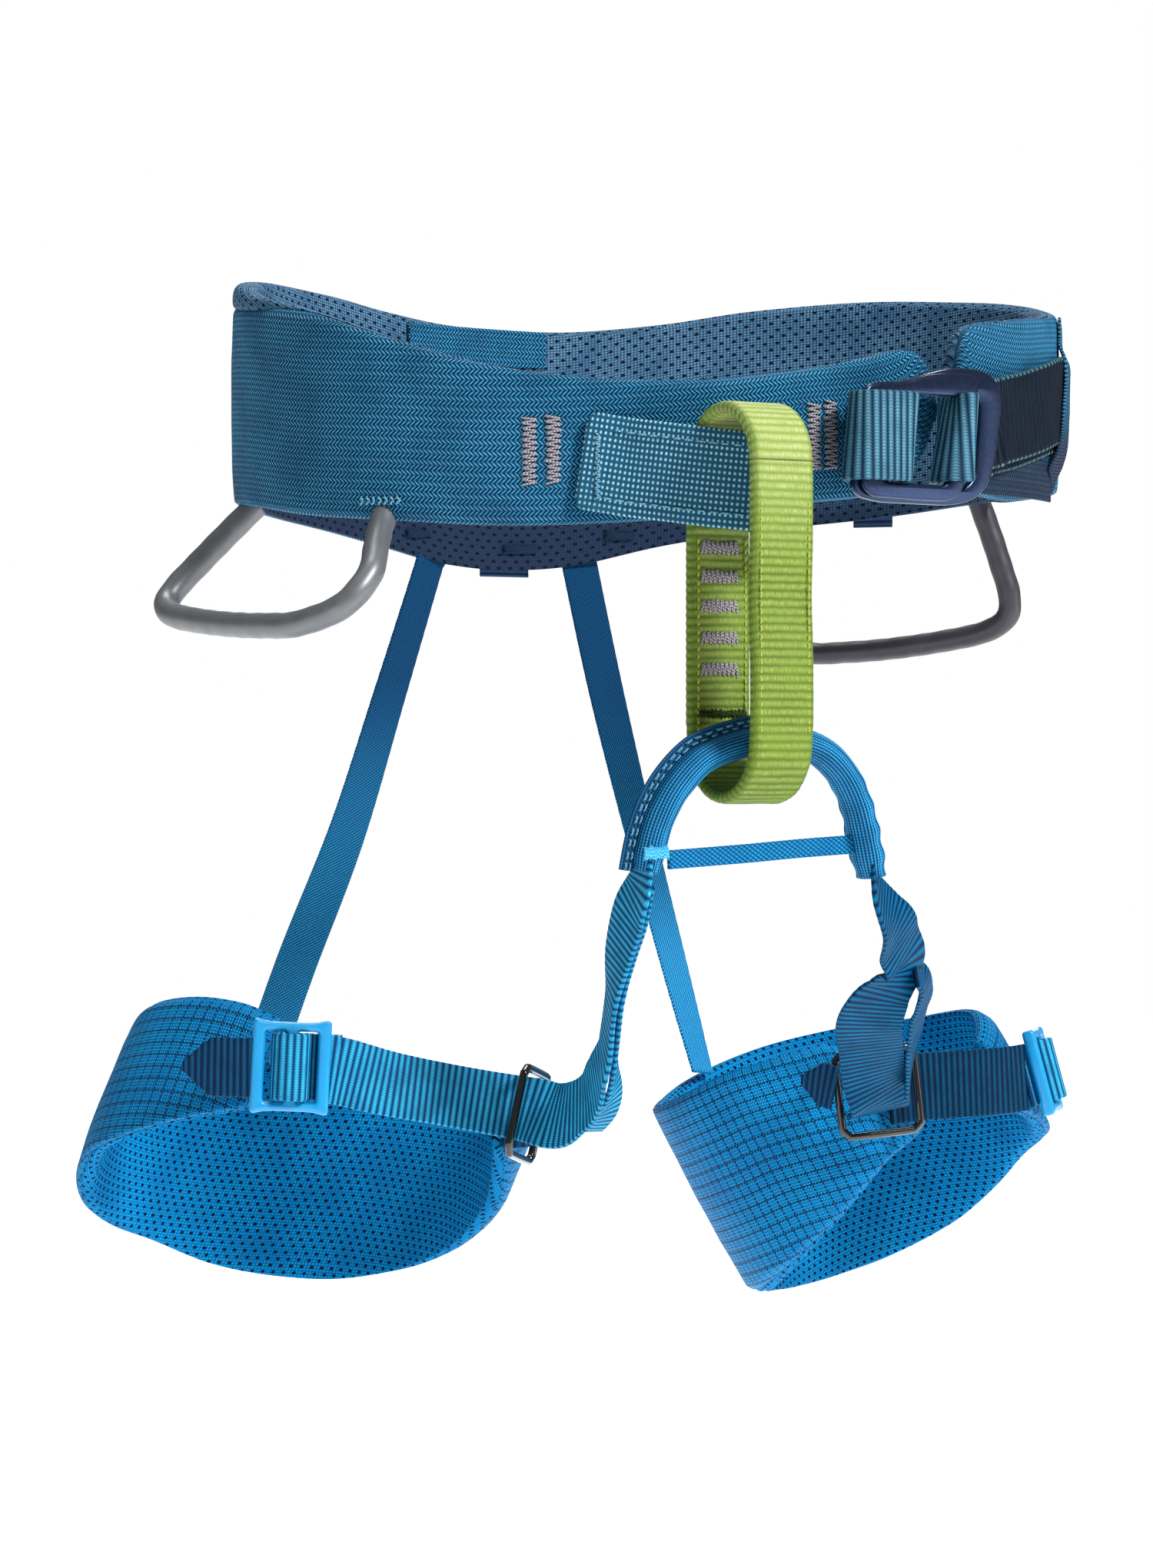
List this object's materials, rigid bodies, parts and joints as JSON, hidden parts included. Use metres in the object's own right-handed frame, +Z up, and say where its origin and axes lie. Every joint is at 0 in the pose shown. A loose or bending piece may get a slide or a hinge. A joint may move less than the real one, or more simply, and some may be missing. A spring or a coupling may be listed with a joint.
{
  "type": "climbing harness",
  "caption": "Padded waist belt with a double-frame buckle, tie-in sheath, belay loop, leg arch, adjustable padded leg loops, elastic risers and moulded gear loops.",
  "frame": {"origin": "middle of the waist opening, at the height of the buckle", "axes": "+Z up, the front (tie-in side) faces -Y, +X towards the wearer's left"},
  "size_m": [0.3136, 0.2286, 0.3101],
  "materials": {
    "belt_shell": "woven polyester with a fine chevron, faint sheen",
    "belt_mesh": "dark perforated mesh",
    "foam": "closed-cell foam",
    "sheath": "abrasion-resistant woven webbing, light dots",
    "waist_webbing": "ribbed nylon webbing",
    "waist_webbing_dark": "ribbed nylon webbing, dark",
    "belay_loop": "green grosgrain webbing, matt",
    "arch": "ribbed woven sleeve",
    "leg_webbing": "cross-ribbed nylon webbing",
    "pad_shell": "ripstop with a dark dashed grid",
    "pad_mesh": "perforated mesh",
    "riser": "knitted elastic",
    "gear_loop": "satin grey moulded tube",
    "aluminium": "navy anodised, satin",
    "plastic": "blue moulded plastic",
    "steel": "black coated wire, glossy"
  },
  "bodies": {
    "waist": {"belt_foam_core": "foam", "belt_outer_shell": "belt_shell", "belt_inner_liner": "belt_mesh", "strap_keeper": "belt_shell", "waist_webbing_anchor": "waist_webbing", "waist_strap_tail": "waist_webbing_dark", "waist_strap_base": "waist_webbing_dark", "haul_tab": "belt_mesh", "side_tab_left": "belt_mesh", "tie_in_sheath": "sheath", "riser_left": "riser", "riser_right": "riser"},
    "waist_buckle": {"buckle_outer_frame": "aluminium", "buckle_inner_frame": "aluminium", "waist_strap_wrap": "waist_webbing"},
    "gear_loop_left": {"gear_loop_left": "gear_loop"},
    "gear_loop_right": {"gear_loop_right": "gear_loop"},
    "belay_loop": {"belay_loop": "belay_loop", "belay_loop_overlap": "belay_loop"},
    "legs": {"arch_sheath": "arch", "arch_core_webbing": "leg_webbing", "cross_strap": "arch", "bridge_webbing_left": "leg_webbing", "bridge_ply_left": "leg_webbing", "bridge_webbing_right": "leg_webbing", "bridge_ply_right": "leg_webbing", "leg_pad_foam_left": "foam", "leg_pad_shell_left": "pad_shell", "leg_pad_liner_left": "pad_mesh", "leg_strap_left": "leg_webbing", "buckle_anchor_left": "leg_webbing", "ring_anchor_left": "leg_webbing", "leg_pad_foam_right": "foam", "leg_pad_shell_right": "pad_shell", "leg_pad_liner_right": "pad_mesh", "leg_strap_right": "leg_webbing", "buckle_anchor_right": "leg_webbing", "ring_anchor_right": "leg_webbing"},
    "leg_buckle_left": {"leg_buckle_left": "plastic", "leg_strap_wrap_left": "leg_webbing"},
    "leg_buckle_right": {"leg_buckle_right": "plastic", "leg_strap_wrap_right": "leg_webbing"},
    "leg_ring_left": {"leg_ring_left": "steel"},
    "leg_ring_right": {"leg_ring_right": "steel"}
  },
  "joints": [
    {"name": "leg_loops_swing", "type": "hinge", "parent": "waist", "child": "legs", "pos_m": [-0.0123, -0.113, -0.089], "axis": [1, 0, 0], "range_deg": [0, 25], "deforming": ["riser_left", "riser_right"]},
    {"name": "belay_loop_swing", "type": "hinge", "parent": "waist", "child": "belay_loop", "pos_m": [-0.0123, -0.1126, -0.004], "axis": [1, 0, 0], "range_deg": [-2, 2]},
    {"name": "waist_buckle_tilt", "type": "hinge", "parent": "waist", "child": "waist_buckle", "pos_m": [0.0299, -0.1052, -0.0036], "axis": [0, 0, -1], "range_deg": [0, 15]},
    {"name": "gear_loop_left_lift", "type": "hinge", "parent": "waist", "child": "gear_loop_left", "pos_m": [0.096, 0.074, -0.0195], "axis": [0.628, -0.7741, 0.0803], "range_deg": [0, 20], "stiffness_Nm_per_rad": 0.02},
    {"name": "gear_loop_right_lift", "type": "hinge", "parent": "waist", "child": "gear_loop_right", "pos_m": [-0.0945, -0.052, -0.0275], "axis": [-0.2925, 0.9508, 0.1024], "range_deg": [0, 20], "stiffness_Nm_per_rad": 0.02},
    {"name": "leg_buckle_left_tilt", "type": "hinge", "parent": "legs", "child": "leg_buckle_left", "pos_m": [0.1357, -0.0238, -0.187], "axis": [-0.2507, 0.1003, 0.9628], "range_deg": [0, 20]},
    {"name": "leg_buckle_right_tilt", "type": "hinge", "parent": "legs", "child": "leg_buckle_right", "pos_m": [-0.1254, -0.0346, -0.1781], "axis": [-0.0499, 0, -0.9988], "range_deg": [0, 20]},
    {"name": "leg_ring_left_turn", "type": "hinge", "parent": "legs", "child": "leg_ring_left", "pos_m": [0.0563, -0.0456, -0.1918], "axis": [-0.2595, 0.1198, 0.9583], "range_deg": [-6, 6]},
    {"name": "leg_ring_right_turn", "type": "hinge", "parent": "legs", "child": "leg_ring_right", "pos_m": [-0.0423, -0.0412, -0.1956], "axis": [0.2996, 0.0999, 0.9488], "range_deg": [-6, 6]}
  ]
}
